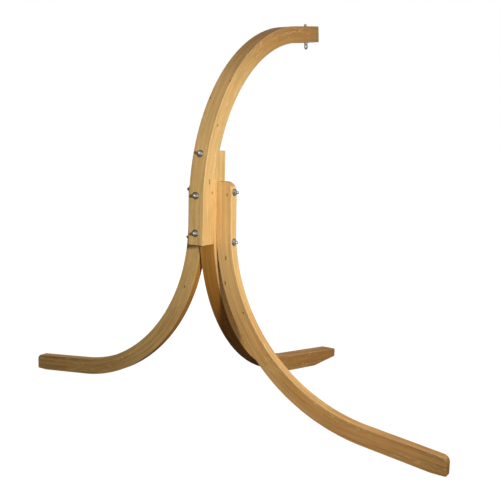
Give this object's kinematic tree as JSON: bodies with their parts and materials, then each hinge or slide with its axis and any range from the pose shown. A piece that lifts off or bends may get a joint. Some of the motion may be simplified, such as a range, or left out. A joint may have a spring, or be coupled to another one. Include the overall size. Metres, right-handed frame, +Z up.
{
  "type": "hanging chair stand",
  "caption": "Free-standing bent-timber stand: an arm curves overhead to a hanging eye and splayed legs curve out to the ground from one bolted hub.",
  "frame": {"origin": "on the ground, in the middle of the stand's bounding box", "axes": "+X the way the arm and the centre leg point, +Y towards the left leg, +Z up"},
  "size_m": [1.495, 2.584, 2.0879],
  "materials": {
    "timber": "oiled honey-coloured glue-laminated softwood, satin",
    "zinc_plate": "bright zinc plate"
  },
  "bodies": {
    "stand": {"arm": "timber", "centre_leg": "timber", "left_leg": "timber", "right_leg": "timber", "arm_lower_bolt": "zinc_plate", "arm_lower_front_washer": "zinc_plate", "arm_lower_back_washer": "zinc_plate", "arm_lower_cap_nut": "zinc_plate", "arm_middle_bolt": "zinc_plate", "arm_middle_front_washer": "zinc_plate", "arm_middle_back_washer": "zinc_plate", "arm_middle_cap_nut": "zinc_plate", "arm_upper_bolt": "zinc_plate", "arm_upper_front_washer": "zinc_plate", "arm_upper_back_washer": "zinc_plate", "arm_upper_cap_nut": "zinc_plate", "leg_lower_rod": "zinc_plate", "leg_lower_left_washer": "zinc_plate", "leg_lower_left_cap_nut": "zinc_plate", "leg_lower_right_washer": "zinc_plate", "leg_lower_right_cap_nut": "zinc_plate", "leg_upper_rod": "zinc_plate", "leg_upper_left_washer": "zinc_plate", "leg_upper_left_cap_nut": "zinc_plate", "leg_upper_right_washer": "zinc_plate", "leg_upper_right_cap_nut": "zinc_plate", "eye_upper_washer": "zinc_plate", "eye_lower_washer": "zinc_plate"},
    "eye": {"eye_bolt": "zinc_plate", "eye_cap_nut": "zinc_plate"}
  },
  "joints": [
    {"name": "eye_turn", "type": "hinge", "parent": "stand", "child": "eye", "pos_m": [0.31324, 0, 1.96201], "axis": [-0.1184, 0, 0.993], "continuous": true}
  ]
}
